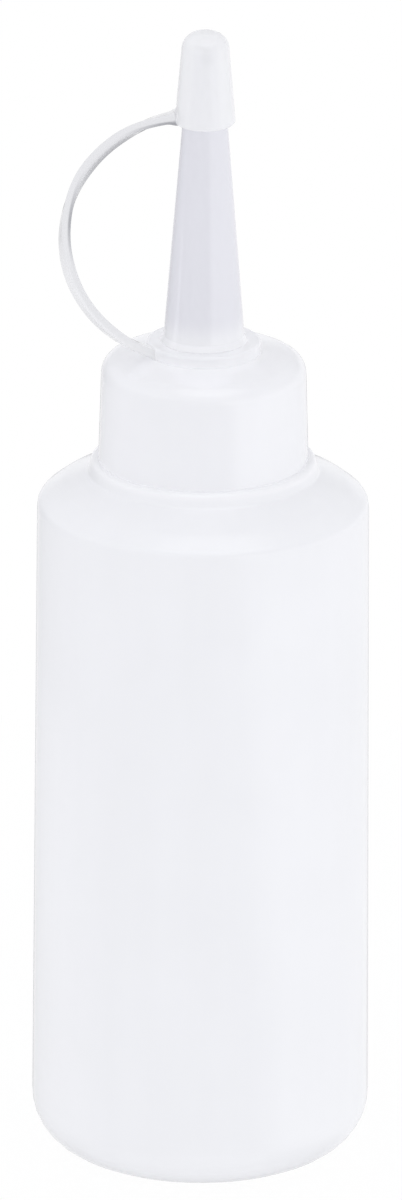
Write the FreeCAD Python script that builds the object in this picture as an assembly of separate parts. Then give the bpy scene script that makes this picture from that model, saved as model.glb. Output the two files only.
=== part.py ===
import FreeCAD, Part
import math
import os

# Squeeze bottle with a screw-on cone nozzle and a tip cap held by a moulded tether.
# Millimetres, +Z up. The origin is on the bottle's axis, in the plane that it stands on.

# Bottle body
base_radius = 22.0
shoulder_radius = 21.5
wall_height = 88.9
base_corner = 7.2
shoulder_corner = 1.6
shoulder_rise = 4.0
body_wall = 1.0
foot_width = 2.2
push_up = 1.6
push_up_slope = 3.2
push_up_blend = 1.6
pinch_length = 17.0
pinch_width = 0.7
pinch_height = 0.35

# Neck and its outside thread
neck_radius = 10.8
neck_wall = 2.0
neck_height = 12.1
bead_height = 1.6
bead_overhang = 1.4
bead_slope = 0.5
neck_edge = 0.4
throat_blend = 2.0
thread_pitch = 3.175
thread_depth = 1.05
thread_turns = 1.5
thread_root_width = 2.0
thread_crest_width = 0.9
thread_top_land = 2.2
thread_sink = 0.4

# Screw cap
thread_clearance = 0.3
cap_thread_turns = 1.25
cap_thread_root_width = 1.6
cap_thread_crest_width = 0.7
skirt_wall = 1.06
skirt_draft = 0.38
skirt_gap = 0.25
skirt_edge = 0.3
lip_gap = 0.1
plate_thickness = 1.5
cap_corner = 2.3
crown_rise = 1.1
plug_clearance = 0.15
plug_wall = 1.0
plug_depth = 3.5
plug_edge = 0.35
root_blend = 0.5

# Cone nozzle
nozzle_height = 41.0
nozzle_root_radius = 5.2
nozzle_tip_radius = 2.12
nozzle_wall = 1.05
nozzle_edge = 0.35
mouth_radius = 0.85
mouth_length = 1.6

# Tether ring at the foot of the nozzle
ring_clearance = 0.15
ring_width = 2.05
ring_thickness = 1.5
ring_seat_gap = 0.05
ring_edge = 0.35
snap_bead_gap = 0.1
snap_bead_reach = 0.3
snap_bead_height = 0.7

# Tip cap
tip_clearance = 0.15
tip_wall = 0.82
rim_wall = 0.86
tip_overlap = 10.0
tip_crown_wall = 1.1
tip_headroom = 1.2
tip_dome = 2.2
rim_edge = 0.45
pin_clearance = 0.2
pin_engagement = 0.9

# Tether strap
strap_width = 2.2
strap_thickness = 1.2
strap_edge = 0.25
strap_top_heading = 172.0
strap_low_heading = 203.0
strap_reach = 18.2
strap_belly_drop = 15.5
strap_root_above_rim = 0.65
strap_start_dip = 13.0
strap_end_climb = 22.3
strap_sections_per_arc = 6
root_length = 1.5
root_flare = 0.2

# Heights and radii that follow from the sizes above
bead_foot_z = wall_height + shoulder_rise
bead_top_z = bead_foot_z + bead_height
neck_top_z = bead_top_z + neck_height
bore_radius = neck_radius - neck_wall
skirt_inner = neck_radius + thread_depth + thread_clearance
skirt_top_radius = skirt_inner + skirt_wall
skirt_foot_radius = skirt_top_radius + skirt_draft
skirt_foot_z = bead_top_z + skirt_gap
bead_top_radius = skirt_foot_radius + bead_overhang - bead_slope
bead_foot_radius = skirt_foot_radius + bead_overhang
plate_under_z = neck_top_z + lip_gap
plate_edge_z = plate_under_z + plate_thickness
crown_z = plate_edge_z + crown_rise
plug_radius = bore_radius - plug_clearance
journal_radius = nozzle_root_radius
ring_bore = journal_radius + ring_clearance
ring_radius = ring_bore + ring_width
ring_foot_z = crown_z + ring_seat_gap
ring_top_z = ring_foot_z + ring_thickness
snap_bead_z = ring_top_z + snap_bead_gap
cone_foot_z = snap_bead_z + snap_bead_height
nozzle_top_z = crown_z + nozzle_height
rim_z = nozzle_top_z - tip_overlap
tip_ceiling_z = nozzle_top_z + tip_headroom
tip_top_z = tip_ceiling_z + tip_crown_wall
pin_radius = mouth_radius - pin_clearance
thread_start_z = neck_top_z - thread_top_land - thread_turns * thread_pitch
full_turn = 360.0
same_point = 1e-6

Z_AXIS = FreeCAD.Vector(0, 0, 1)
ORIGIN = FreeCAD.Vector(0, 0, 0)


def at(radius, height):
    return FreeCAD.Vector(radius, 0, height)


def rounded_wire(corners):
    """Closed outline through (radius, height, corner radius) points, with each corner as a tangent arc."""
    stops = []
    for i, (radius, height, rounding) in enumerate(corners):
        point = at(radius, height)
        to_last = (at(*corners[i - 1][:2]) - point).normalize()
        to_next = (at(*corners[(i + 1) % len(corners)][:2]) - point).normalize()
        half = to_last.getAngle(to_next) / 2
        trim = rounding / math.tan(half)
        inward = (to_last + to_next).normalize() if rounding else ORIGIN
        middle = point + inward * (rounding / math.sin(half) - rounding)
        stops.append((point + to_last * trim, middle, point + to_next * trim))
    edges = []
    for i, (enter, middle, leave) in enumerate(stops):
        if enter.distanceToPoint(leave) > same_point:
            edges.append(Part.Arc(enter, middle, leave).toShape())
        onward = stops[(i + 1) % len(stops)][0]
        if leave.distanceToPoint(onward) > same_point:
            edges.append(Part.LineSegment(leave, onward).toShape())
    return Part.Wire(edges)


def lathe(corners):
    """Solid of revolution about the bottle's axis."""
    return Part.Face(rounded_wire(corners)).revolve(ORIGIN, Z_AXIS, full_turn)


def on_line(start, end, radius):
    """Height at a radius on the straight line between two (radius, height) points."""
    share = (radius - start[0]) / (end[0] - start[0])
    return start[1] + share * (end[1] - start[1])


def screw_ridge(root_radius, crest_radius, root_width, crest_width, start_z, turns):
    """Right-hand thread ridge whose flat root lies at root_radius and whose crest is at crest_radius."""
    sink = math.copysign(thread_sink, root_radius - crest_radius)
    foot = root_radius + sink
    foot_width = root_width + (root_width - crest_width) * abs(sink / (crest_radius - root_radius))
    section = Part.makePolygon([
        at(foot, start_z - foot_width / 2),
        at(crest_radius, start_z - crest_width / 2),
        at(crest_radius, start_z + crest_width / 2),
        at(foot, start_z + foot_width / 2),
        at(foot, start_z - foot_width / 2),
    ])
    helix = Part.makeHelix(thread_pitch, turns * thread_pitch, root_radius)
    helix.translate(FreeCAD.Vector(0, 0, start_z))
    return Part.Wire(helix.Edges).makePipeShell([section], True, True)


def bottle():
    """Hollow shell from the push-up base to the threaded neck."""
    foot_outer = base_radius - base_corner
    foot_inner = foot_outer - foot_width
    panel = foot_inner - push_up_slope
    shoulder_start = (shoulder_radius, wall_height)
    shoulder_end = (bead_foot_radius, bead_foot_z)
    slope = math.atan2(shoulder_rise, shoulder_radius - bead_foot_radius)
    drop = body_wall / math.cos(slope)
    inner_base = base_radius - body_wall
    inner_shoulder = shoulder_radius - body_wall
    shell = lathe([
        (0, push_up, 0),
        (panel, push_up, push_up_blend),
        (foot_inner, 0, push_up_blend),
        (base_radius, 0, base_corner),
        (*shoulder_start, shoulder_corner),
        (*shoulder_end, neck_edge),
        (bead_top_radius, bead_top_z, neck_edge),
        (neck_radius, bead_top_z, neck_edge),
        (neck_radius, neck_top_z, neck_edge),
        (bore_radius, neck_top_z, neck_edge),
        (bore_radius, on_line(shoulder_start, shoulder_end, bore_radius) - drop, throat_blend),
        (inner_shoulder, on_line(shoulder_start, shoulder_end, inner_shoulder) - drop, shoulder_corner),
        (inner_base, body_wall, base_corner - body_wall),
        (foot_inner, body_wall, push_up_blend),
        (panel, push_up + body_wall, push_up_blend),
        (0, push_up + body_wall, 0),
    ])
    ridge = screw_ridge(neck_radius, neck_radius + thread_depth, thread_root_width, thread_crest_width,
                        thread_start_z, thread_turns)
    pinch = Part.makeBox(pinch_length, pinch_width, pinch_height + body_wall / 2,
                         FreeCAD.Vector(-pinch_length / 2, -pinch_width / 2, push_up - pinch_height))
    return shell.fuse(ridge).fuse(pinch).removeSplitter()


def nozzle_outer(height):
    """Radius of the nozzle's cone at a height."""
    share = (height - cone_foot_z) / (nozzle_top_z - cone_foot_z)
    return nozzle_root_radius + share * (nozzle_tip_radius - nozzle_root_radius)


def dispensing_cap():
    """Screw cap, plug seal and cone nozzle in one moulding."""
    snap_radius = ring_bore + snap_bead_reach
    seat_edge = ring_radius + ring_clearance
    bore_top_z = nozzle_top_z - mouth_length
    bore_foot = nozzle_root_radius - nozzle_wall
    bore_top = nozzle_outer(bore_top_z) - nozzle_wall
    shell = lathe([
        (mouth_radius, nozzle_top_z, 0),
        (nozzle_tip_radius, nozzle_top_z, nozzle_edge),
        (nozzle_root_radius, cone_foot_z, 0),
        (snap_radius, snap_bead_z + snap_bead_height / 2, snap_bead_gap),
        (journal_radius, snap_bead_z, 0),
        (journal_radius, crown_z, 0),
        (seat_edge, crown_z, root_blend),
        (skirt_top_radius, plate_edge_z, cap_corner),
        (skirt_foot_radius, skirt_foot_z, skirt_edge),
        (skirt_inner, skirt_foot_z, skirt_edge),
        (skirt_inner, plate_under_z, root_blend),
        (plug_radius, plate_under_z, 0),
        (plug_radius, plate_under_z - plug_depth, plug_edge),
        (plug_radius - plug_wall, plate_under_z - plug_depth, plug_edge),
        (plug_radius - plug_wall, plate_under_z, root_blend),
        (bore_foot, plate_under_z, root_blend),
        (bore_foot, crown_z, root_blend),
        (bore_top, bore_top_z, 0),
        (mouth_radius, bore_top_z, 0),
    ])
    ridge = screw_ridge(skirt_inner, neck_radius + thread_clearance, cap_thread_root_width,
                        cap_thread_crest_width, thread_start_z - thread_pitch / 2, cap_thread_turns)
    return shell.fuse(ridge).removeSplitter()


def strap_plane(shape, heading):
    """Turn a shape drawn above +X to a heading round the bottle's axis."""
    shape.rotate(ORIGIN, Z_AXIS, heading)
    return shape


def strap_section(centre, heading, grow):
    """Rounded rectangle across the strap at a point of its route."""
    half_width = strap_width / 2 + grow
    half_thickness = strap_thickness / 2 + grow
    edge = strap_edge + grow / 2
    wire = rounded_wire([
        (-half_thickness, -half_width, edge),
        (half_thickness, -half_width, edge),
        (half_thickness, half_width, edge),
        (-half_thickness, half_width, edge),
    ])
    across = FreeCAD.Vector(0, 1, 0)
    wire.rotate(ORIGIN, FreeCAD.Vector(1, 0, 0), 90)
    turn = FreeCAD.Rotation(across.cross(heading), across * -1, heading, "ZXY")
    wire.Placement = FreeCAD.Placement(centre, turn).multiply(wire.Placement)
    return wire


def strap_root(centre, heading):
    """Flared stub that carries the strap; it starts one root length before centre."""
    wide = strap_section(centre - heading * root_length, heading, root_flare)
    return Part.makeLoft([wide, strap_section(centre, heading, 0)], True, True)


def strap_ends():
    """Points and directions where the strap leaves the tip cap and where it reaches the ring."""
    dip = math.radians(strap_start_dip)
    climb = math.radians(strap_end_climb)
    root_z = rim_z + strap_root_above_rim
    leave = FreeCAD.Vector(math.cos(dip), 0, -math.sin(dip))
    arrive = FreeCAD.Vector(-math.cos(climb), 0, -math.sin(climb))
    rim_radius = nozzle_outer(root_z) + tip_clearance + rim_wall
    start = at(rim_radius, root_z) + leave * (root_length - rim_wall / 2)
    end = at(ring_radius, ring_foot_z + ring_thickness / 2) - arrive * (root_length - ring_width / 2)
    return start, leave, end, arrive


def tangent_arc(start, heading, end):
    """Arc from start to end that leaves start along heading."""
    chord = end - start
    side = (chord - heading * chord.dot(heading)).normalize()
    radius = chord.dot(chord) / (2 * side.dot(chord))
    centre = start + side * radius
    outward = (start + end) * 0.5 - centre
    return Part.Arc(start, centre + outward.normalize() * radius, end).toShape()


def two_arcs(start, leave, end, arrive):
    """Two tangent arcs from start to end with the given end directions."""
    chord = end - start
    both = leave + arrive
    bend = both.dot(both) - 4
    reach = (chord.dot(both) - math.sqrt(chord.dot(both) ** 2 - bend * chord.dot(chord))) / bend
    meet = (start + leave * reach + end - arrive * reach) * 0.5
    middle = (end - arrive * reach - start - leave * reach).normalize()
    return [tangent_arc(start, leave, meet), tangent_arc(meet, middle, end)]


def tether_strap():
    """Flexible band from the tip cap, out to its widest point, and down to the ring. Its plane turns on the way."""
    start, leave, end, arrive = strap_ends()
    belly = at(strap_reach, start.z - strap_belly_drop)
    down = FreeCAD.Vector(0, 0, -1)
    route = two_arcs(start, leave, belly, down) + two_arcs(belly, down, end, arrive)
    length = sum(arc.Length for arc in route)
    stations = [(start, leave, 0)]
    travelled = 0
    for arc in route:
        for i in range(1, strap_sections_per_arc + 1):
            part = i / strap_sections_per_arc
            where = arc.FirstParameter + part * (arc.LastParameter - arc.FirstParameter)
            share = (travelled + part * arc.Length) / length
            stations.append((arc.valueAt(where), arc.tangentAt(where), share))
        travelled += arc.Length
    turn = strap_low_heading - strap_top_heading
    sections = [strap_plane(strap_section(centre, along, 0), strap_top_heading + turn * share)
                for centre, along, share in stations]
    strap = Part.makeLoft(sections, True)
    print("strap length %.2f, volume %.2f, section times length %.2f" % (
        length, strap.Volume, Part.Face(sections[0]).Area * length))
    return strap


def tether_ring():
    """Ring round the foot of the nozzle, with the stub that carries the strap trimmed level with its foot."""
    ring = lathe([
        (ring_bore, ring_foot_z, 0),
        (ring_radius, ring_foot_z, ring_edge),
        (ring_radius, ring_top_z, ring_edge),
        (ring_bore, ring_top_z, ring_edge),
    ])
    _, _, end, arrive = strap_ends()
    below = Part.makeCylinder(strap_reach, ring_foot_z)
    stub = strap_plane(strap_root(end, arrive * -1), strap_low_heading).cut(below)
    return ring.fuse(stub).removeSplitter()


def tip_cap():
    """Domed cap with a tapered socket for the nozzle and a short pin that closes its mouth."""
    rim_inner = nozzle_outer(rim_z) + tip_clearance
    cap = lathe([
        (0, tip_top_z, 0),
        (nozzle_outer(tip_top_z) + tip_clearance + tip_wall, tip_top_z, tip_dome),
        (rim_inner + rim_wall, rim_z, rim_edge),
        (rim_inner, rim_z, 0),
        (nozzle_outer(tip_ceiling_z) + tip_clearance, tip_ceiling_z, root_blend),
        (pin_radius, tip_ceiling_z, 0),
        (pin_radius, nozzle_top_z - pin_engagement, 0),
        (0, nozzle_top_z - pin_engagement, 0),
    ])
    start, leave, _, _ = strap_ends()
    return cap.fuse(strap_plane(strap_root(start, leave), strap_top_heading)).removeSplitter()


def main():
    os.makedirs("parts", exist_ok=True)
    for piece in (bottle, dispensing_cap, tether_ring, tether_strap, tip_cap):
        shape = piece()
        box = shape.optimalBoundingBox()
        print("%s: solids %d, valid %s, volume %.1f, z %.2f to %.2f, x %.2f to %.2f" % (
            piece.__name__, len(shape.Solids), shape.isValid(), shape.Volume,
            box.ZMin, box.ZMax, box.XMin, box.XMax))
        shape.exportStep("parts/%s.step" % piece.__name__)


main()
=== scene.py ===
# %% [markdown]
# # A squeeze bottle in milky plastic
# This lesson dresses a small dispensing bottle: a blow-moulded body, a screw cap with a cone nozzle, and
# a domed tip cap on a thin moulded tether. Every piece is natural polyethylene, so the whole lesson is
# about one hard thing: a white, cloudy, see-through plastic in front of a white background.

# %% Load the fixed frame
import math

import bmesh
import bpy
from mathutils import Matrix, Vector


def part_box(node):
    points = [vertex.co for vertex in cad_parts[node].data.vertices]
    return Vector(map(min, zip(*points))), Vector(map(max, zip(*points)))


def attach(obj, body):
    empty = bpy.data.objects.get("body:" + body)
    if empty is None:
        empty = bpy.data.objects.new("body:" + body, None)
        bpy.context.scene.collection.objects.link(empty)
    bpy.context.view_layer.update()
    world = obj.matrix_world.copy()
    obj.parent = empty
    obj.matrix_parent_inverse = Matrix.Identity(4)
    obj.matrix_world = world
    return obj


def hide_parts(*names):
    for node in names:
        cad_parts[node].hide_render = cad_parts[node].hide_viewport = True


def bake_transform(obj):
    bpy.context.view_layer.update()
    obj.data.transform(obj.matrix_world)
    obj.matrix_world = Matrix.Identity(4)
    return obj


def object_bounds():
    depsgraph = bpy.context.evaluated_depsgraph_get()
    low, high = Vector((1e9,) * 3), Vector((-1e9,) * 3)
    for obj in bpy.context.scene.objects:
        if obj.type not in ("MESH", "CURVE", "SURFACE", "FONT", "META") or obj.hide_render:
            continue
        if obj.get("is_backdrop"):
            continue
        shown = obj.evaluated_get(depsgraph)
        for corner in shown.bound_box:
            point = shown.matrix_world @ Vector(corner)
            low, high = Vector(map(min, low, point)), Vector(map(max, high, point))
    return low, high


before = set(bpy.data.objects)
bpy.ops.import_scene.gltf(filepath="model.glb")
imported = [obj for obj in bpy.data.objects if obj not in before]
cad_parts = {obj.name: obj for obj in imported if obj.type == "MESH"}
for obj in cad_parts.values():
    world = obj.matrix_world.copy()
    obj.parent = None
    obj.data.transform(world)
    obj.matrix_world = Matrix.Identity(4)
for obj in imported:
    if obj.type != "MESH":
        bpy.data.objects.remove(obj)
cad_box = [list(corner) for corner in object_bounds()]

# %% [markdown]
# ## The camera
# The photograph shows the bottle from a little above, with walls that stay parallel, as a long lens far
# away gives. A camera at two and a half metres and twenty degrees does the same. The lens follows from
# how many pixels of the 402 by 1200 frame one radian covers, and a third of a degree of roll copies the
# photograph's lean.

# %% Camera
FRAME_HEIGHT_PX = 1200
PIXELS_PER_RADIAN = 19257
SENSOR_MM = 36.0
SIGHT_RANGE = 20.0
CAMERA_DISTANCE = 2.5
CAMERA_ELEVATION = math.radians(20.0)
CAMERA_ROLL = math.radians(0.3)
AIM = Vector((-0.0002, 0.0, 0.075))


def add_camera():
    data = bpy.data.cameras.new("photo_camera")
    data.sensor_fit = "VERTICAL"
    data.sensor_height = SENSOR_MM
    data.lens = PIXELS_PER_RADIAN * SENSOR_MM / FRAME_HEIGHT_PX
    data.clip_end = SIGHT_RANGE
    camera = bpy.data.objects.new("photo_camera", data)
    back = Vector((0.0, -math.cos(CAMERA_ELEVATION), math.sin(CAMERA_ELEVATION)))
    level = back.to_track_quat("Z", "Y").to_matrix()
    camera.location = AIM + back * CAMERA_DISTANCE
    camera.rotation_euler = (level @ Matrix.Rotation(CAMERA_ROLL, 3, "Z")).to_euler()
    bpy.context.scene.collection.objects.link(camera)
    bpy.context.scene.camera = camera
    return camera


camera = add_camera()
bpy.context.scene.view_settings.view_transform = "Standard"
print("lens", round(camera.data.lens, 1), "mm")

# %% [markdown]
# ## Shader maths as plain expressions
# A procedural finish is arithmetic on patterns. Nodes could be added and linked one by one, but then the
# arithmetic drowns in plumbing. The small class here wraps an output socket, so that an expression such as
# `1 - mask * 0.2` adds its Math nodes by itself, and one method adds any other node.


# %% Shader helper
class Shade:
    """An output socket in a node tree, with arithmetic."""

    def __init__(self, tree, socket=None):
        self.tree = tree
        self.socket = socket

    def node(self, kind, settings=None, **inputs):
        """Add a node, set its settings, then its inputs, and wrap its first output.
        Inputs are named with spaces as _, or by their place as i0, i1 and so on."""
        made = self.tree.nodes.new(kind)
        for name, value in (settings or {}).items():
            setattr(made, name, value)
        for name, value in inputs.items():
            key = int(name[1:]) if name[:1] == "i" and name[1:].isdigit() else name.replace("_", " ")
            if isinstance(value, Shade):
                self.tree.links.new(value.socket, made.inputs[key])
            else:
                made.inputs[key].default_value = value
        return Shade(self.tree, made.outputs[0]) if made.outputs else None

    def out(self, name):
        return Shade(self.tree, self.socket.node.outputs[name])

    def maths(self, operation, first, second):
        return self.node("ShaderNodeMath", {"operation": operation}, i0=first, i1=second)

    def __add__(self, other):
        return self.maths("ADD", self, other)

    def __sub__(self, other):
        return self.maths("SUBTRACT", self, other)

    def __rsub__(self, other):
        return self.maths("SUBTRACT", other, self)

    def __mul__(self, other):
        return self.maths("MULTIPLY", self, other)

    def rises(self, low, high):
        """0 below low, 1 above high, and a soft slope between them."""
        soft = {"interpolation_type": "SMOOTHSTEP"}
        return self.node("ShaderNodeMapRange", soft, Value=self, i1=low, i2=high)

    def towards(self, other, share):
        """This number, changed to another by a share."""
        return self * (1.0 - share) + share * other

    def tint(self, first, second):
        """A colour between two colours, with this number as the share of the second."""
        mixed = self.node("ShaderNodeMix", {"data_type": "RGBA"}, i0=self, i6=first, i7=second)
        return Shade(self.tree, mixed.socket.node.outputs[2])

    __radd__ = __add__
    __rmul__ = __mul__


def new_tree(owner):
    """The empty node tree of a material or a world."""
    owner.use_nodes = True
    owner.node_tree.nodes.clear()
    return Shade(owner.node_tree)


# %% [markdown]
# ## The room's light
# The photograph has almost no shadow: a white tent lights the plastic from all sides, so its matt colour
# is nearly even, and only reflections tell one side from another. Area lamps could do that, but on
# plastic this smooth each would show as a patch of its own. Here the room itself is drawn, by direction
# and by kind of ray. Matt surfaces get an even light. Reflections see a dim front, a bright panel from
# the right round to the rear, a lit strip low on the left, a lamp overhead, and a small dark patch
# straight behind, which draws the thin grey line along the edges. The camera sees plain white.

# %% What reflections see
GLOSS_ROOM = 0.5
GLOSS_FRONT = 0.25
GLOSS_PANEL = 0.95
GLOSS_BACK = 0.15
GLOSS_LAMP = 1.2
WALLS_FOOT = (-0.75, -0.5)
WALLS_TOP = (0.0, 0.3)
PANEL_EDGE_DEG = (-13.0, -2.0)
PANEL_SLANT_DEG = 150.0
PANEL_SLANT_HEIGHTS = (-0.4, -0.19)
LEFT_REAR_DEG = (140.0, 172.0)
LOW_LEFT_DEG = (60.0, 115.0)
LOW_LEFT_TOP = (-0.335, -0.28)
LOW_LEFT_SHARE = 0.65
BACK_AIM = (0.0, 0.94, -0.342)
BACK_EDGE = (0.982, 0.997)
OVERHEAD_AIM = (0.1, -0.37, 0.92)
OVERHEAD_EDGE = (0.8, 0.96)


def spot(shade, direction, aim, edge):
    """1 inside a round patch of the room in the direction aim and 0 outside it, for cosines from edge."""
    along_aim = shade.node("ShaderNodeVectorMath", {"operation": "DOT_PRODUCT"}, i0=direction,
                           i1=Vector(aim).normalized())
    return along_aim.out("Value").rises(*edge)


def gloss_map(shade, direction):
    """What a reflection sees, by the direction it looks in.
    Zero degrees is towards the camera, and plus is to the right."""
    split = shade.node("ShaderNodeSeparateXYZ", Vector=direction)
    height = split.out("Z")
    degrees = shade.maths("ARCTAN2", split.out("X"), split.out("Y") * -1.0) * math.degrees(1.0)
    low, high = PANEL_SLANT_HEIGHTS
    slant = shade.maths("MAXIMUM", shade.maths("MINIMUM", height, high), low) * PANEL_SLANT_DEG
    panel = (degrees + slant).rises(*PANEL_EDGE_DEG)
    to_left = degrees * -1.0
    low_left = to_left.rises(*LOW_LEFT_DEG) * (1.0 - height.rises(*LOW_LEFT_TOP)) * LOW_LEFT_SHARE
    left = shade.maths("MAXIMUM", low_left, to_left.rises(*LEFT_REAR_DEG))
    walls = shade.maths("MAXIMUM", panel, left) * (GLOSS_PANEL - GLOSS_FRONT) + GLOSS_FRONT
    level = height.rises(*WALLS_FOOT) * (1.0 - height.rises(*WALLS_TOP))
    room = (walls - GLOSS_ROOM) * level + GLOSS_ROOM
    lit = room.towards(GLOSS_LAMP, spot(shade, direction, OVERHEAD_AIM, OVERHEAD_EDGE))
    return lit.towards(GLOSS_BACK, spot(shade, direction, BACK_AIM, BACK_EDGE))


print("reflections run from", GLOSS_BACK, "in the dark patch to", GLOSS_LAMP, "in the lamp")

# %% World
SIDE_LEVEL = 0.98
CEILING_LEVEL = 1.03
ROOM_COLOUR = (0.985, 0.985, 1.0, 1.0)
WHITE = (1.0, 1.0, 1.0, 1.0)


def seen_directly(shade):
    """1 for rays that look at the background: from the camera or through clear plastic."""
    path = shade.node("ShaderNodeLightPath")
    return shade.maths("MAXIMUM", path.out("Is Camera Ray"), path.out("Is Transmission Ray"))


def light_world():
    world = bpy.data.worlds.new("white_tent")
    shade = new_tree(world)
    direction = shade.node("ShaderNodeTexCoord").out("Generated")
    height = shade.node("ShaderNodeSeparateXYZ", Vector=direction).out("Z")
    matt_level = SIDE_LEVEL + (CEILING_LEVEL - SIDE_LEVEL) * height * height
    matt = shade.node("ShaderNodeBackground", Color=ROOM_COLOUR, Strength=matt_level)
    gloss = shade.node("ShaderNodeBackground", Color=WHITE, Strength=gloss_map(shade, direction))
    white = shade.node("ShaderNodeBackground", Color=WHITE, Strength=1.0)
    is_gloss = shade.node("ShaderNodeLightPath").out("Is Glossy Ray")
    light = shade.node("ShaderNodeMixShader", i0=is_gloss, i1=matt, i2=gloss)
    both = shade.node("ShaderNodeMixShader", i0=seen_directly(shade), i1=light, i2=white)
    shade.node("ShaderNodeOutputWorld", Surface=both)
    bpy.context.scene.world = world


light_world()
print("matt light", SIDE_LEVEL, "from the sides and", CEILING_LEVEL, "from above")

# %% [markdown]
# ## The floor
# The bottle stands on a white table that runs into the background. A plain plane would show its far
# edge, so the floor is a small disc that the camera sees almost pure white, and what it lacks to white
# keeps the contact shadow. It glows a little as well, as a lit table does, so that the round corner of
# the base stays light from below.

# %% Floor
FLOOR_RADIUS = 0.16
FLOOR_CORNERS = 96
FLOOR_COLOUR = (0.97, 0.97, 0.975, 1.0)
FLOOR_WHITE = 0.95
FLOOR_FILL = 0.6


def add_floor():
    bpy.ops.mesh.primitive_circle_add(radius=FLOOR_RADIUS, fill_type="NGON", vertices=FLOOR_CORNERS)
    floor = bpy.context.object
    floor.name = "floor"
    floor.visible_glossy = False
    material = bpy.data.materials.new("pale_floor")
    shade = new_tree(material)
    matt = shade.node("ShaderNodeBsdfDiffuse", Color=FLOOR_COLOUR)
    white = shade.node("ShaderNodeEmission", Color=WHITE, Strength=1.0)
    glow = shade.maths("MAXIMUM", seen_directly(shade) * FLOOR_WHITE, FLOOR_FILL)
    both = shade.node("ShaderNodeMixShader", i0=glow, i1=matt, i2=white)
    shade.node("ShaderNodeOutputMaterial", Surface=both)
    floor.data.materials.append(material)
    floor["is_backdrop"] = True


add_floor()
print("floor", 2 * FLOOR_RADIUS, "m across")

# %% [markdown]
# ## Turning on a lathe
# Four of the five main pieces are round. They could be cylinders and cones, joined and cut, but one outline
# each, swept round the axis, gives a cleaner skin. An outline is a list of corners, each with a radius, a
# height and a rounding in millimetres. `rounded` turns the roundings into arcs, and `turned` sweeps the
# points. A `relief` may push the skin out or in by angle and height, which is how the screw threads and the
# mould's parting line are made.

# %% Lathe
MM = 0.001
SEGMENTS = 180
ARC_STEP = math.radians(11.0)
FEWEST_ARC_STEPS = 3


def rounded(corners):
    """Points of an outline of (radius, height, rounding) corners, with every rounding as an arc."""
    points = []
    for i, (radius, height, rounding) in enumerate(corners):
        here = Vector((radius, height))
        if not rounding:
            points.append(here)
            continue
        back = (Vector(corners[i - 1][:2]) - here).normalized()
        ahead = (Vector(corners[(i + 1) % len(corners)][:2]) - here).normalized()
        half = back.angle(ahead) / 2
        centre = here + (back + ahead).normalized() * (rounding / math.sin(half))
        spoke = here + back * (rounding / math.tan(half)) - centre
        turn = math.copysign(math.pi - 2 * half, ahead.x * back.y - ahead.y * back.x)
        steps = max(FEWEST_ARC_STEPS, math.ceil(abs(turn) / ARC_STEP))
        points += [centre + Matrix.Rotation(turn * step / steps, 2) @ spoke for step in range(steps + 1)]
    return points


def fine(points, low, high, step):
    """The same outline, with its straight stretches between two heights cut into short steps."""
    cut = [points[0]]
    for last, point in zip(points, points[1:]):
        inside = min(last.y, point.y) > low and max(last.y, point.y) < high
        parts = max(1, round((point - last).length / step)) if inside else 1
        cut += [last.lerp(point, part / parts) for part in range(1, parts + 1)]
    return cut


def new_piece(name, bm):
    """An object from a bmesh in millimetres, smooth and with its normals outwards."""
    bmesh.ops.recalc_face_normals(bm, faces=bm.faces)
    bmesh.ops.scale(bm, vec=(MM, MM, MM), verts=bm.verts)
    mesh = bpy.data.meshes.new(name)
    bm.to_mesh(mesh)
    bm.free()
    mesh.shade_smooth()
    piece = bpy.data.objects.new(name, mesh)
    bpy.context.scene.collection.objects.link(piece)
    print(name, len(mesh.polygons), "faces")
    return piece


def turned(name, points, closed, relief=None):
    """A piece swept round the axis. An open outline starts and ends on the axis."""
    bm = bmesh.new()
    rows = []
    for radius, height in points:
        if radius == 0:
            rows.append([bm.verts.new((0, 0, height))] * SEGMENTS)
            continue
        row = []
        for i in range(SEGMENTS):
            angle = math.tau * i / SEGMENTS
            out = radius + (relief(radius, angle, height) if relief else 0)
            row.append(bm.verts.new((out * math.cos(angle), out * math.sin(angle), height)))
        rows.append(row)
    pairs = list(zip(rows, rows[1:])) + ([(rows[-1], rows[0])] if closed else [])
    for here, onward in pairs:
        for i in range(SEGMENTS):
            j = (i + 1) % SEGMENTS
            around = dict.fromkeys((here[i], here[j], onward[j], onward[i]))
            bm.faces.new(list(around))
    return new_piece(name, bm)


print("the lathe turns in steps of", 360 / SEGMENTS, "degrees")

# %% [markdown]
# ## Screw threads
# The neck has one and a half turns of a right-hand thread, and the cap a little less on its inside. A
# thread's ridge has sloping flanks and runs out softly at both ends, as the mould cutter leaves it. It
# could be a strip swept along a helix and joined to the neck, but as a relief on the turned skin it
# needs no join at all.

# %% Threads
PITCH = 3.175
RUN_OUT = 0.07
THREAD_STEP = 0.2
SAME_RADIUS = 0.01


def soft_step(share):
    share = min(max(share, 0.0), 1.0)
    return share * share * (3 - 2 * share)


def screw(start, turns, foot_width, crest_width, depth):
    """A function of angle and height that gives how far a thread's ridge stands out."""

    def ridge(angle, height):
        tallest = 0.0
        for lap in range(math.ceil(turns)):
            travel = angle / math.tau + lap
            off = abs(height - start - PITCH * travel)
            flank = (foot_width / 2 - off) / ((foot_width - crest_width) / 2)
            ends = soft_step(travel / RUN_OUT) * soft_step((turns - travel) / RUN_OUT)
            tallest = max(tallest, soft_step(flank) * ends)
        return tallest * depth

    return ridge


print("one turn of a thread climbs", PITCH, "mm")

# %% [markdown]
# ## The bottle
# The body is blow moulded: a soft tube of plastic is caught between two mould halves and blown up. That
# leaves an even wall, large soft corners, a shoulder that swells a little, a faint ridge where the halves
# meet, and a pinched seam under the base. Wall and neck are one turned outline, inside and outside, with
# the ridge and the thread as its relief. The seam isn't round, so it is a small bevelled bar set into the
# push-up. Heights that the frame knows are read from it.

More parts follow.
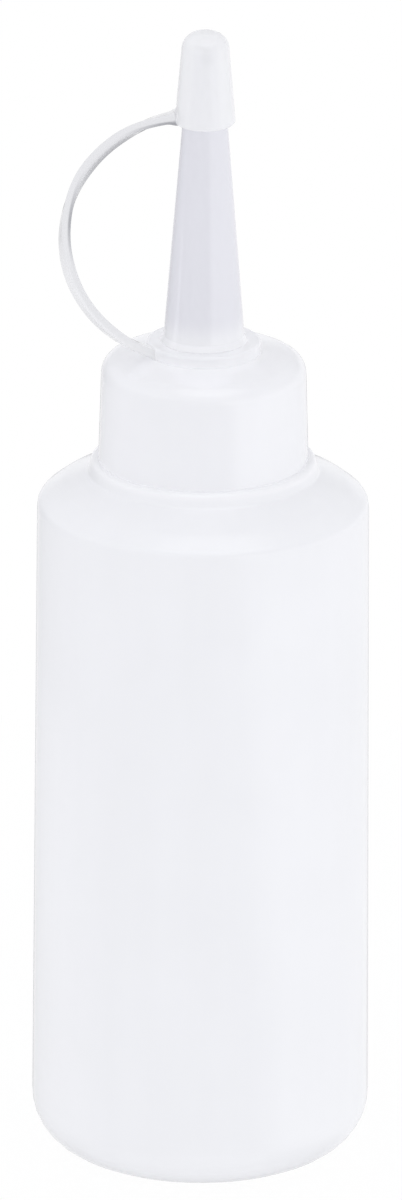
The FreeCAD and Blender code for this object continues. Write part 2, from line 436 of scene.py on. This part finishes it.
# %% Heights from the frame
def heights(node):
    low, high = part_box(node)
    return low.z / MM, high.z / MM


_, NECK_TOP = heights("bottle")
SKIRT_FOOT, NOZZLE_TOP = heights("dispensing_cap")
print("neck top", round(NECK_TOP, 2), "mm, skirt foot", round(SKIRT_FOOT, 2), "mm")

# %% Parting ridge and neck thread
SHOULDER_RADIUS = 21.5
WALL_HEIGHT = 88.9
BASE_CORNER = 7.2
WALL_SKIN = 0.1
PARTING_RIDGE = 0.035
PARTING_WIDTH = 0.25
NECK_RADIUS = 10.8
NECK_TURNS = 1.5
NECK_RIDGE_WIDTHS = (2.0, 0.9)
THREAD_DEPTH = 1.05
THREAD_INSET = 2.2
THREAD_START = NECK_TOP - THREAD_INSET - NECK_TURNS * PITCH


def bottle_relief():
    thread = screw(THREAD_START, NECK_TURNS, *NECK_RIDGE_WIDTHS, THREAD_DEPTH)

    def relief(radius, angle, height):
        if abs(radius - NECK_RADIUS) < SAME_RADIUS and SKIRT_FOOT < height:
            return thread(angle, height)
        if radius > SHOULDER_RADIUS - WALL_SKIN and BASE_CORNER < height < WALL_HEIGHT:
            return -PARTING_RIDGE * soft_step(abs(radius * math.sin(angle)) / PARTING_WIDTH)
        return 0.0

    return relief


print("neck thread starts at", round(THREAD_START, 2), "mm")

# %% Bottle
BASE_RADIUS = 22.0
WALL = 1.0
FOOT_RING_INNER = 12.6
PUSH_UP = 1.6
PUSH_UP_RADIUS = 9.4
PUSH_UP_BLEND = 1.6
SHOULDER_CORNER = 1.6
SWELL_RADIUS = 19.2
SWELL_RISE = 0.4
SWELL_ROUND = 8.0
BEAD_FOOT_RADIUS = 14.99
BEAD_FOOT_HEIGHT = 92.9
BEAD_TOP_RADIUS = 14.49
BEAD_GAP = 0.006
BEAD_ROUND = 0.75
BEAD_BLEND = 0.7
NECK_BORE = 8.8
NECK_EDGE = 0.4
NECK_BLEND = 2.0


def shoulder_height(radius):
    share = (SHOULDER_RADIUS - radius) / (SHOULDER_RADIUS - BEAD_FOOT_RADIUS)
    return WALL_HEIGHT + share * (BEAD_FOOT_HEIGHT - WALL_HEIGHT)


def make_bottle():
    bead_top = SKIRT_FOOT - BEAD_GAP
    slope = (BEAD_FOOT_HEIGHT - WALL_HEIGHT) / (SHOULDER_RADIUS - BEAD_FOOT_RADIUS)
    drop = WALL * math.hypot(1.0, slope)
    inner_shoulder = SHOULDER_RADIUS - WALL
    outline = rounded([
        (0, PUSH_UP, 0),
        (PUSH_UP_RADIUS, PUSH_UP, PUSH_UP_BLEND),
        (FOOT_RING_INNER, 0, PUSH_UP_BLEND),
        (BASE_RADIUS, 0, BASE_CORNER),
        (SHOULDER_RADIUS, WALL_HEIGHT, SHOULDER_CORNER),
        (SWELL_RADIUS, shoulder_height(SWELL_RADIUS) + SWELL_RISE, SWELL_ROUND),
        (BEAD_FOOT_RADIUS, BEAD_FOOT_HEIGHT, BEAD_BLEND),
        (BEAD_TOP_RADIUS, bead_top, BEAD_ROUND),
        (NECK_RADIUS, bead_top, NECK_EDGE),
        (NECK_RADIUS, NECK_TOP, NECK_EDGE),
        (NECK_BORE, NECK_TOP, NECK_EDGE),
        (NECK_BORE, shoulder_height(NECK_BORE) - drop, NECK_BLEND),
        (inner_shoulder, shoulder_height(inner_shoulder) - drop, SHOULDER_CORNER),
        (BASE_RADIUS - WALL, WALL, BASE_CORNER - WALL),
        (FOOT_RING_INNER, WALL, PUSH_UP_BLEND),
        (PUSH_UP_RADIUS, PUSH_UP + WALL, PUSH_UP_BLEND),
        (0, PUSH_UP + WALL, 0),
    ])
    return turned("squeeze_bottle", fine(outline, bead_top, NECK_TOP, THREAD_STEP), False, bottle_relief())


squeeze_bottle = make_bottle()

# %% Pinched seam
PINCH_LENGTH = 17.0
PINCH_WIDTH = 0.7
PINCH_HEIGHT = 0.35
PINCH_ROOT = 0.1
PINCH_EDGE = 0.12
PINCH_ROUNDS = 2
ROUND_PROFILE = 0.5


def make_pinch_seam():
    """The short ridge across the push-up, where the mould nipped the tube shut."""
    bm = bmesh.new()
    bmesh.ops.create_cube(bm, size=1.0)
    bmesh.ops.scale(bm, vec=(PINCH_LENGTH, PINCH_WIDTH, PINCH_HEIGHT + PINCH_ROOT), verts=bm.verts)
    bmesh.ops.translate(bm, vec=(0, 0, PUSH_UP + (PINCH_ROOT - PINCH_HEIGHT) / 2), verts=bm.verts)
    bmesh.ops.bevel(bm, geom=bm.edges, offset=PINCH_EDGE, segments=PINCH_ROUNDS, affect="EDGES",
                    profile=ROUND_PROFILE)
    return new_piece("pinch_seam", bm)


pinch_seam = make_pinch_seam()

# %% [markdown]
# ## The screw cap with its nozzle
# Cap, plug seal and nozzle are one injection moulding. The top plate rises in a shallow cone to the seat of
# the tether's ring, a small bead above the seat holds the ring down, and the cone of the nozzle is hollow
# to its tip. It could be built as a skirt, a plate and a cone, but one closed outline keeps them one skin,
# as the mould does. Even a sharp corner in sight gets a tiny rounding: without one, smooth shading bends
# the light on both faces beside it.

# %% Nozzle's taper and cap's thread
RING_FOOT, RING_TOP = heights("tether_ring")
SNAP_BEAD_HEIGHT = 0.8
CONE_FOOT = RING_TOP + SNAP_BEAD_HEIGHT
NOZZLE_ROOT = 5.2
NOZZLE_TIP = 2.12
SKIRT_INNER = 12.15
CAP_TURNS = 1.25
CAP_RIDGE_WIDTHS = (1.6, 0.7)
CAP_THREAD_GAP = 0.3


def nozzle_radius(height):
    share = (height - CONE_FOOT) / (NOZZLE_TOP - CONE_FOOT)
    return NOZZLE_ROOT + share * (NOZZLE_TIP - NOZZLE_ROOT)


def cap_relief():
    depth = SKIRT_INNER - NECK_RADIUS - CAP_THREAD_GAP
    thread = screw(THREAD_START - PITCH / 2, CAP_TURNS, *CAP_RIDGE_WIDTHS, depth)

    def relief(radius, angle, height):
        return -thread(angle, height) if abs(radius - SKIRT_INNER) < SAME_RADIUS else 0.0

    return relief


print("nozzle", round(NOZZLE_TOP - CONE_FOOT, 2), "mm long above its bead")

# %% Screw cap
SKIRT_TOP_RADIUS = 13.21
SKIRT_FOOT_RADIUS = 13.59
SKIRT_EDGE = 0.03
PLATE = 1.5
PLATE_GAP = 0.1
PLATE_UNDER = NECK_TOP + PLATE_GAP
PLATE_EDGE = PLATE_UNDER + PLATE
CAP_CORNER = 2.3
SEAT_GAP = 0.05
SEAT_RADIUS = 7.55
CROWN = RING_FOOT - SEAT_GAP
SNAP_BEAD_RADIUS = 5.65
SNAP_GAP = 0.006
SNAP_EDGE = 0.04
CONE_BLEND = 0.2
NOZZLE_WALL = 1.05
NOZZLE_EDGE = 0.35
MOUTH_RADIUS = 0.85
MOUTH_LENGTH = 1.6
MOUTH_EDGE = 0.1
PLUG_RADIUS = 8.65
PLUG_BORE = 7.65
PLUG_LENGTH = 3.5
PLUG_EDGE = 0.35
ROOT_BLEND = 0.5


def make_cap():
    plug_foot = PLATE_UNDER - PLUG_LENGTH
    bore_top = NOZZLE_TOP - MOUTH_LENGTH
    outline = rounded([
        (MOUTH_RADIUS, NOZZLE_TOP, MOUTH_EDGE),
        (NOZZLE_TIP, NOZZLE_TOP, NOZZLE_EDGE),
        (NOZZLE_ROOT, CONE_FOOT, CONE_BLEND),
        (SNAP_BEAD_RADIUS, RING_TOP + SNAP_GAP, SNAP_EDGE),
        (NOZZLE_ROOT, RING_TOP + SNAP_GAP, 0),
        (NOZZLE_ROOT, CROWN, 0),
        (SEAT_RADIUS, CROWN, ROOT_BLEND),
        (SKIRT_TOP_RADIUS, PLATE_EDGE, CAP_CORNER),
        (SKIRT_FOOT_RADIUS, SKIRT_FOOT, SKIRT_EDGE),
        (SKIRT_INNER, SKIRT_FOOT, SKIRT_EDGE),
        (SKIRT_INNER, PLATE_UNDER, ROOT_BLEND),
        (PLUG_RADIUS, PLATE_UNDER, 0),
        (PLUG_RADIUS, plug_foot, PLUG_EDGE),
        (PLUG_BORE, plug_foot, PLUG_EDGE),
        (PLUG_BORE, PLATE_UNDER, ROOT_BLEND),
        (NOZZLE_ROOT - NOZZLE_WALL, PLATE_UNDER, ROOT_BLEND),
        (NOZZLE_ROOT - NOZZLE_WALL, CROWN, ROOT_BLEND),
        (nozzle_radius(bore_top) - NOZZLE_WALL, bore_top, 0),
        (MOUTH_RADIUS, bore_top, 0),
    ])
    return turned("screw_cap", fine(outline, SKIRT_FOOT, PLATE_UNDER, THREAD_STEP), True, cap_relief())


screw_cap = make_cap()

# %% [markdown]
# ## The tether
# Ring, strap and tip cap come out of one small mould. The ring turns freely round the foot of the
# nozzle. The tip cap has a tapered socket, and a short pin under its dome closes the nozzle's mouth. Its
# socket could be cut with a copy of the nozzle, but both pieces are turned as well: the outline follows the
# nozzle's own cone with a clearance, so that the two always fit.

# %% Ring
RING_BORE = 5.35
RING_RADIUS = 7.4
RING_EDGE = 0.4
RING_LOW_EDGE = 0.08


def make_ring():
    outline = rounded([
        (RING_BORE, RING_FOOT, 0),
        (RING_RADIUS, RING_FOOT, RING_LOW_EDGE),
        (RING_RADIUS, RING_TOP, RING_EDGE),
        (RING_BORE, RING_TOP, RING_LOW_EDGE),
    ])
    return turned("ring", outline, True)


ring = make_ring()

# %% Tip cap
_, TIP_TOP = heights("tip_cap")
TIP_GRIP = 10.0
RIM = NOZZLE_TOP - TIP_GRIP
TIP_CLEARANCE = 0.15
TIP_WALL = 0.82
RIM_WALL = 0.86
RIM_EDGE = 0.45
RIM_INNER_EDGE = 0.1
TIP_DOME = 2.2
TIP_ROOF = 1.1
TIP_CEILING = TIP_TOP - TIP_ROOF
PIN_RADIUS = 0.65
PIN_REACH = 0.9
PIN_FOOT = NOZZLE_TOP - PIN_REACH


def make_tip_cap():
    rim_inner = nozzle_radius(RIM) + TIP_CLEARANCE
    outline = rounded([
        (0, TIP_TOP, 0),
        (nozzle_radius(TIP_TOP) + TIP_CLEARANCE + TIP_WALL, TIP_TOP, TIP_DOME),
        (rim_inner + RIM_WALL, RIM, RIM_EDGE),
        (rim_inner, RIM, RIM_INNER_EDGE),
        (nozzle_radius(TIP_CEILING) + TIP_CLEARANCE, TIP_CEILING, ROOT_BLEND),
        (PIN_RADIUS, TIP_CEILING, 0),
        (PIN_RADIUS, PIN_FOOT, 0),
        (0, PIN_FOOT, 0),
    ])
    return turned("domed_tip_cap", outline, False)


domed_tip_cap = make_tip_cap()

# %% [markdown]
# ## The strap
# The strap is a flat band, nearly twice as wide as it is thick, moulded in a bow. A bevelled curve would
# give it quickly, but not the roll and the roots, so its sections are set one by one along a middle
# line. That line is four tangent arcs: from the tip cap's rim out to the widest point, and from there
# down to the ring, in an upright plane that turns a little on the way. The band rolls about its line as
# well, so that the photograph shows its inner face above and its outer face below. It grows at both
# roots, which sink into the pieces that carry it.
#
# On so thin a band the light inside gathers along the edges, and that is painted into its colour: a dark
# line of painted shade along the inner side, and painted light on the outer face. Both are kept on the mesh
# as vertex layers, because only the mesh knows which side is which.

# %% Strap: its middle line
STRAP_REACH = 18.2
BELLY_DROP = 15.5
ROOT_ABOVE_RIM = 0.65
START_DIP = math.radians(13.0)
END_CLIMB = math.radians(22.3)
ROOT_LENGTH = 1.5
ROOT_STEPS = 4
ROUTE_STEP = 0.35


def arc(start, heading, end):
    """Points from start to end on the arc that leaves start along heading, without its first point."""
    chord = end - start
    side = (chord - heading * chord.dot(heading)).normalized()
    radius = chord.dot(chord) / (2 * side.dot(chord))
    turn = 2 * heading.angle(chord)
    steps = math.ceil(radius * turn / ROUTE_STEP)
    angles = [turn * step / steps for step in range(1, steps + 1)]
    return [start + heading * (radius * math.sin(a)) + side * (radius * (1 - math.cos(a))) for a in angles]


def two_arcs(start, leave, end, arrive):
    """Points on two tangent arcs that leave start and arrive at end as given, without the first point."""
    chord = end - start
    both = leave + arrive
    bend = both.dot(both) - 4
    reach = (chord.dot(both) - math.sqrt(chord.dot(both) ** 2 - bend * chord.dot(chord))) / bend
    meet = (start + leave * reach + end - arrive * reach) / 2
    middle = (end - arrive * reach - start - leave * reach).normalized()
    return arc(start, leave, meet) + arc(meet, middle, end)


def strap_route():
    """Middle line of the strap as (distance from the axis, height) points, root to root."""
    root_height = RIM + ROOT_ABOVE_RIM
    leave = Vector((math.cos(START_DIP), -math.sin(START_DIP)))
    arrive = Vector((-math.cos(END_CLIMB), -math.sin(END_CLIMB)))
    down = Vector((0, -1))
    rim_radius = nozzle_radius(root_height) + TIP_CLEARANCE + RIM_WALL
    start = Vector((rim_radius, root_height)) + leave * (ROOT_LENGTH - RIM_WALL / 2)
    ring_width = RING_RADIUS - RING_BORE
    end = Vector((RING_RADIUS, (RING_FOOT + RING_TOP) / 2)) - arrive * (ROOT_LENGTH - ring_width / 2)
    belly = Vector((STRAP_REACH, start.y - BELLY_DROP))
    step = ROOT_LENGTH / ROOT_STEPS
    first_root = [start - leave * (ROOT_LENGTH - step * i) for i in range(ROOT_STEPS + 1)]
    last_root = [end + arrive * (step * i) for i in range(1, ROOT_STEPS + 1)]
    return first_root + two_arcs(start, leave, belly, down) + two_arcs(belly, down, end, arrive) + last_root


def steps_of(route):
    return [(here - last).length for last, here in zip(route, route[1:])]


def along(route):
    """Share of the route's length at each of its points."""
    steps = steps_of(route)
    return [sum(steps[:i]) / sum(steps) for i in range(len(route))]


strap_line = strap_route()
print("strap's middle line", round(sum(steps_of(strap_line)), 1), "mm with its roots")

# %% Strap: its section and roll
STRAP_WIDTH = 2.2
STRAP_THICKNESS = 1.2
STRAP_EDGE = 0.25
SIDE_CUTS = 6
UPPER_ROLL = math.radians(30.0)
LOWER_ROLL = math.radians(-16.0)
UPPER_END = 0.5
LOWER_START = 0.45
ROLL_EASE = 0.2


def strap_section(grow):
    half_width = STRAP_WIDTH / 2 + grow
    half_thickness = STRAP_THICKNESS / 2 + grow
    loop = rounded([
        (-half_width, -half_thickness, STRAP_EDGE),
        (half_width, -half_thickness, STRAP_EDGE),
        (half_width, half_thickness, STRAP_EDGE),
        (-half_width, half_thickness, STRAP_EDGE),
    ])
    side_step = 2 * (half_thickness - STRAP_EDGE) / SIDE_CUTS
    side_end = half_thickness - STRAP_EDGE / 2
    return fine(loop + loop[:1], -side_end, side_end, side_step)[:-1]


def strap_roll(share):
    """How far the band is twisted about its own line, which is not at all at its two roots."""
    upper = soft_step(share / ROLL_EASE) * soft_step((UPPER_END - share) / ROLL_EASE)
    lower = soft_step((share - LOWER_START) / ROLL_EASE) * soft_step((1.0 - share) / ROLL_EASE)
    return upper * UPPER_ROLL + lower * LOWER_ROLL


print("strap section of", len(strap_section(0.0)), "points")

# %% Strap: painted shade and painted light on its two sides
LINE_DEPTH = 0.15
LINE_SOFTNESS = 0.35
LINE_FRONT = 1.1
LINE_FADE = 0.8
LINE_END = 0.64
OUTER_DEPTH = 0.2
OUTER_SOFTNESS = 0.6
OUTER_EASE = 0.15


def inner_painted_shade_line(share, across, depth):
    """Strength of the dark line of painted shade along the band's inner side.
    across is 1 at the front edge, and depth is 1 on the inner face. Where the band is rolled and shows its
    inner face, the line leaves the front edge and lies on that face."""
    rolled = max(0.0, strap_roll(share) / UPPER_ROLL)
    on_face = 1.0 - rolled * (1.0 - soft_step((LINE_FRONT - across) / LINE_FADE))
    inside = soft_step((depth - LINE_DEPTH) / LINE_SOFTNESS)
    return inside * on_face * soft_step((LINE_END - share) / ROLL_EASE)


def outer_painted_light(share, depth):
    """Strength of the painted light on the outer face of the band's lower half."""
    outside = soft_step((-depth - OUTER_DEPTH) / OUTER_SOFTNESS)
    return outside * soft_step((share - UPPER_END) / ROLL_EASE) * soft_step((1.0 - share) / OUTER_EASE)


print("the dark line ends", LINE_END, "of the way down the strap")

# %% Strap: the band
TOP_HEADING = math.radians(172.0)
LOW_HEADING = math.radians(203.0)
ROOT_FLARE = 0.3


def make_strap(route):
    bm = bmesh.new()
    # Vertex layers that hold the strap's painted shade line and the painted light of its outer face.
    inner_edge_painted_shade = bm.verts.layers.float.new("inner_edge_painted_shade")
    outer_face_painted_light = bm.verts.layers.float.new("outer_face_painted_light")
    rows = []
    for i, share in enumerate(along(route)):
        ahead = (route[min(i + 1, len(route) - 1)] - route[max(i - 1, 0)]).normalized()
        from_end = min((route[i] - route[0]).length, (route[i] - route[-1]).length)
        heading = TOP_HEADING + share * (LOW_HEADING - TOP_HEADING)
        out = Vector((math.cos(heading), math.sin(heading), 0))
        level = Vector((-out.y, out.x, 0))
        outward = out * -ahead.y + Vector((0, 0, ahead.x))
        roll = strap_roll(share)
        across = level * math.cos(roll) + outward * math.sin(roll)
        thick = outward * math.cos(roll) - level * math.sin(roll)
        middle = out * route[i].x + Vector((0, 0, route[i].y))
        section = strap_section(ROOT_FLARE * (1 - soft_step(from_end / ROOT_LENGTH)))
        rows.append([bm.verts.new(middle + across * x + thick * y) for x, y in section])
        for vert, point in zip(rows[-1], section):
            depth = -point.y / (STRAP_THICKNESS / 2)
            vert[inner_edge_painted_shade] = inner_painted_shade_line(share, point.x / (STRAP_WIDTH / 2), depth)
            vert[outer_face_painted_light] = outer_painted_light(share, depth)
    for here, onward in zip(rows, rows[1:]):
        for i in range(len(here)):
            j = (i + 1) % len(here)
            bm.faces.new((here[i], here[j], onward[j], onward[i]))
    bm.faces.new(rows[0])
    bm.faces.new(rows[-1])
    ends = [sum((vert.co for vert in row), Vector()) * (MM / len(row)) for row in (rows[-1], rows[0])]
    return new_piece("strap", bm), ends


strap, (strap_low_end, strap_top_end) = make_strap(strap_line)
print("strap ends", round((strap_top_end - strap_low_end).length / MM, 1), "mm apart")

# %% [markdown]
# ## Milky plastic
# Natural polyethylene scatters light inside its wall. Two things follow: a wall lets far more light
# through than sight, so that the pieces behind it are well lit and hardly shaded, and those pieces show
# only faintly. The finish says that with two shares of clear plastic in a white one, one for sight and
# one for light. Only the outer skin counts: from its back, a skin is clear, except at low angles, where
# it mirrors, as the inside of real plastic does. True scattering in a volume would look alike, but
# slower and with grain, and no other program would read it. The colour drifts by a trace in soft clouds
# and in streaks along the flow, and a fine satin from the mould breaks the gloss.

# %% Milky plastic
PLASTIC_IOR = 1.51
CLOUD_SCALE = 70.0
CLOUD_DETAIL = 3.0
CLOUD_SHARE = 0.7
STREAK_SCALE = (260.0, 260.0, 12.0)
STREAK_DETAIL = 2.0
DRIFT_RANGE = (0.3, 0.7)
DEEP_SHARE = 0.98
SATIN_SCALE = 2600.0
SATIN_DETAIL = 2.0
SATIN_STRENGTH = 0.05
SATIN_DEPTH = 0.00002
GLOSS_DRIFT = 0.08


def plastic(name, colour, sight, light, roughness, shine, marks=()):
    """A milky plastic. Each mark is another colour, with a function that gives its share by place."""
    material = bpy.data.materials.new(name)
    shade = new_tree(material)
    place = shade.node("ShaderNodeTexCoord").out("Object")
    cloud = shade.node("ShaderNodeTexNoise", Vector=place, Scale=CLOUD_SCALE, Detail=CLOUD_DETAIL)
    flow = shade.node("ShaderNodeMapping", Vector=place, Scale=STREAK_SCALE)
    streak = shade.node("ShaderNodeTexNoise", Vector=flow, Scale=1.0, Detail=STREAK_DETAIL)
    satin = shade.node("ShaderNodeTexNoise", Vector=place, Scale=SATIN_SCALE, Detail=SATIN_DETAIL)
    drift = cloud * CLOUD_SHARE + streak * (1.0 - CLOUD_SHARE)
    deep = tuple(channel * DEEP_SHARE for channel in colour[:3]) + (1.0,)
    base = drift.rises(*DRIFT_RANGE).tint(deep, colour)
    for other, where in marks:
        base = where(shade, place).tint(base, other)
    bump = shade.node("ShaderNodeBump", Strength=SATIN_STRENGTH, Distance=SATIN_DEPTH, Height=satin)
    body = shade.node("ShaderNodeBsdfPrincipled", Base_Color=base, IOR=PLASTIC_IOR, Normal=bump,
                      Specular_IOR_Level=shine, Roughness=roughness - GLOSS_DRIFT / 2 + drift * GLOSS_DRIFT)
    clear = shade.node("ShaderNodeBsdfTransparent", Color=WHITE)
    path = shade.node("ShaderNodeLightPath")
    lighting = shade.maths("MAXIMUM", path.out("Is Shadow Ray"), path.out("Is Diffuse Ray"))
    from_behind = shade.node("ShaderNodeNewGeometry").out("Backfacing")
    passes = 1.0 - shade.node("ShaderNodeFresnel", IOR=PLASTIC_IOR)
    share = shade.maths("MAXIMUM", sight + (light - sight) * lighting, from_behind * passes)
    both = shade.node("ShaderNodeMixShader", i0=share, i1=body, i2=clear)
    shade.node("ShaderNodeOutputMaterial", Surface=both)
    print(name, "lets", sight, "of sight and", light, "of light through")
    return material


# %% [markdown]
# ## Marks by place
# Light and shade are painted into the colour at a few known places. The long hollow cone of the nozzle gets
# painted shade, deeper than the cap below it. The creases get painted light, standing for light that leaks
# into them. The tip cap gets a dim spot of painted shade, level with the nozzle's dark mouth behind its
# wall. Painted textures would need an unwrapped mesh, but each mark lies at a known place, so it is a small
# sum on the place itself. The strap's painted shade and painted light come from its vertex layers.

# %% Marks
NOZZLE_FADE = (0.2, 3.5)
BEAD_LIGHT = 0.5
BEAD_SOFT = 0.6
FOOT_LIGHT = 0.15
FOOT_SOFT = 0.35
SEAT_LIGHT = 0.08
SEAT_SOFT = 0.12
SNAP_LIGHT = 0.3
SNAP_SOFT = 0.4
# The dim spot is painted shade on the tip cap's front, level with the nozzle's dark mouth behind the wall.
MOUTH_SHADE_DROP = 2.6
MOUTH_SHADE_CENTRE = (0.3, -2.9, TIP_TOP - MOUTH_SHADE_DROP)
MOUTH_SHADE_REACH = (0.3, 1.5)
MOUTH_SHADE_STRENGTH = 0.8


# Painted shade: the hollow cone of the nozzle is painted darker and bluer, from its foot upwards.
def nozzle_painted_shade(shade, place):
    height = shade.node("ShaderNodeSeparateXYZ", Vector=place).out("Z")
    return height.rises((CONE_FOOT - NOZZLE_FADE[0]) * MM, (CONE_FOOT + NOZZLE_FADE[1]) * MM)


def painted(layer):
    """The share that a piece carries in one of its vertex layers."""

    def share(shade, place):
        return shade.node("ShaderNodeAttribute", {"attribute_name": layer}).out("Fac")

    return share


def between(shade, place, low, high, soft):
    """1 between two heights in millimetres, with soft ends."""
    height = shade.node("ShaderNodeSeparateXYZ", Vector=place).out("Z") * (1.0 / MM)
    return height.rises(low - soft, low) * (1.0 - height.rises(high, high + soft))


# Painted light: a lighter band on the bottle's bead, just under the skirt's foot, where the crease would
# fall into shade.
def painted_light_at_bead(shade, place):
    return between(shade, place, SKIRT_FOOT - BEAD_LIGHT, SKIRT_FOOT, BEAD_SOFT)


def painted_light_at_cap_creases(shade, place):
    """1 at the foot of the skirt, round the ring's seat and at the bead that holds the ring, where the
    creases get painted light.
    """
    foot = between(shade, place, SKIRT_FOOT, SKIRT_FOOT + FOOT_LIGHT, FOOT_SOFT)
    seat = between(shade, place, CROWN - SEAT_LIGHT, CROWN, SEAT_SOFT)
    bead = between(shade, place, RING_TOP, RING_TOP + SNAP_LIGHT, SNAP_SOFT)
    return shade.maths("MAXIMUM", shade.maths("MAXIMUM", foot, seat), bead)


# Painted shade: a dim spot on the front of the tip cap.
def painted_mouth_shade(shade, place):
    centre = Vector(MOUTH_SHADE_CENTRE) * MM
    away = shade.node("ShaderNodeVectorMath", {"operation": "DISTANCE"}, i0=place, i1=centre)
    return (1.0 - away.out("Value").rises(MOUTH_SHADE_REACH[0] * MM, MOUTH_SHADE_REACH[1] * MM)) * MOUTH_SHADE_STRENGTH


print("painted shade spot", MOUTH_SHADE_DROP, "mm under the top of the tip cap")

# %% [markdown]
# ## Five mixes of one plastic
# Every piece is the same kind of plastic, but each looks a little different: the body hardly lets sight
# through, the small ring a good deal, and the cap has the sharpest gloss, as from a polished mould. One
# material for all would be simpler, but then the pieces would melt into each other in front of the white.
# Ring, strap and tip cap are one moulding, yet the ring is painted a little lighter and the strap a little
# darker than the tip cap: painted light and painted shade.
# The colours are a trace bluer than grey, as in the photograph.

# %% The five mixes
BODY_MILK = (0.93, 0.937, 0.965, 1.0)
CAP_MILK = (0.95, 0.955, 0.985, 1.0)
# Painted shade on the nozzle's cone.
NOZZLE_MILK_PAINTED_SHADE = (0.815, 0.816, 0.87, 1.0)
# Painted light in the creases of the bottle and the cap.
CREASE_MILK_PAINTED_LIGHT = (0.95, 0.955, 0.98, 1.0)
# Painted light: the ring is a lighter copy of the tether plastic.
RING_MILK_PAINTED_LIGHT = (0.965, 0.97, 1.0, 1.0)
TIP_MILK = (0.92, 0.925, 0.945, 1.0)
# Painted shade for the dim spot on the tip cap.
MOUTH_PAINTED_SHADE = (0.86, 0.865, 0.885, 1.0)
# Painted shade: the strap is a darker copy of the tether plastic.
STRAP_MILK_PAINTED_SHADE = (0.84, 0.843, 0.86, 1.0)
# Painted shade: the dark line along the strap's inner side.
STRAP_LINE_PAINTED_SHADE = (0.4, 0.404, 0.43, 1.0)
# Painted light on the strap's outer face.
STRAP_OUTER_PAINTED_LIGHT = (0.9, 0.903, 0.92, 1.0)
bottle_finish = plastic("bottle_plastic", BODY_MILK, sight=0.04, light=0.75, roughness=0.2, shine=0.66,
                        marks=[(CREASE_MILK_PAINTED_LIGHT, painted_light_at_bead)])
cap_finish = plastic("cap_plastic", CAP_MILK, sight=0.1, light=0.9, roughness=0.11, shine=0.95,
                     marks=[(NOZZLE_MILK_PAINTED_SHADE, nozzle_painted_shade), (CREASE_MILK_PAINTED_LIGHT, painted_light_at_cap_creases)])
ring_finish = plastic("ring_plastic", RING_MILK_PAINTED_LIGHT, sight=0.3, light=0.95, roughness=0.16, shine=0.7)
tip_finish = plastic("tether_plastic", TIP_MILK, sight=0.2, light=0.9, roughness=0.16, shine=0.6,
                     marks=[(MOUTH_PAINTED_SHADE, painted_mouth_shade)])
strap_finish = plastic("strap_plastic", STRAP_MILK_PAINTED_SHADE, sight=0.0, light=0.6, roughness=0.14, shine=0.5,
                       marks=[(STRAP_LINE_PAINTED_SHADE, painted("inner_edge_painted_shade")), (STRAP_OUTER_PAINTED_LIGHT, painted("outer_face_painted_light"))])

# %% [markdown]
# ## Dressing the frame
# Each mesh stands in for one solid of the frame and rides on that solid's body, except the strap: its mesh
# is baked where it stands, on no body, and the places of its two ends, at the ring and at the tip cap, are
# worked out. The pinched seam stands for no solid of its own, so it only rides on the bottle.

# %% Dress the frame
DRESSING = [
    (squeeze_bottle, "bottle", "bottle", "bottle_plastic", bottle_finish),
    (screw_cap, "dispensing_cap", "dispensing_cap", "cap_plastic", cap_finish),
    (ring, "tether_ring", "tether", "tether_plastic", ring_finish),
    (strap, "tether_strap", None, "tether_plastic", strap_finish),
    (domed_tip_cap, "tip_cap", "tip_cap", "tether_plastic", tip_finish),
]
for piece, node, body, slot, finish in DRESSING:
    piece.data.materials.append(finish)
    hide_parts(node)
    if body:
        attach(piece, body)
    print(piece.name, "stands for", node)
pinch_seam.data.materials.append(bottle_finish)
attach(pinch_seam, "bottle")
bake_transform(strap)

# %% [markdown]
# ## Sizes
# A dressed part keeps the size of its solids. The two boxes are written down side by side, so that a
# piece that stands out of the solids' box shows at once.

# %% Sizes for the record, and the end
visual_box = [list(corner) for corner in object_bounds()]
for name, box in (("solids", cad_box), ("dressed", visual_box)):
    print(name, [round((high - low) / MM, 2) for low, high in zip(*box)], "mm")
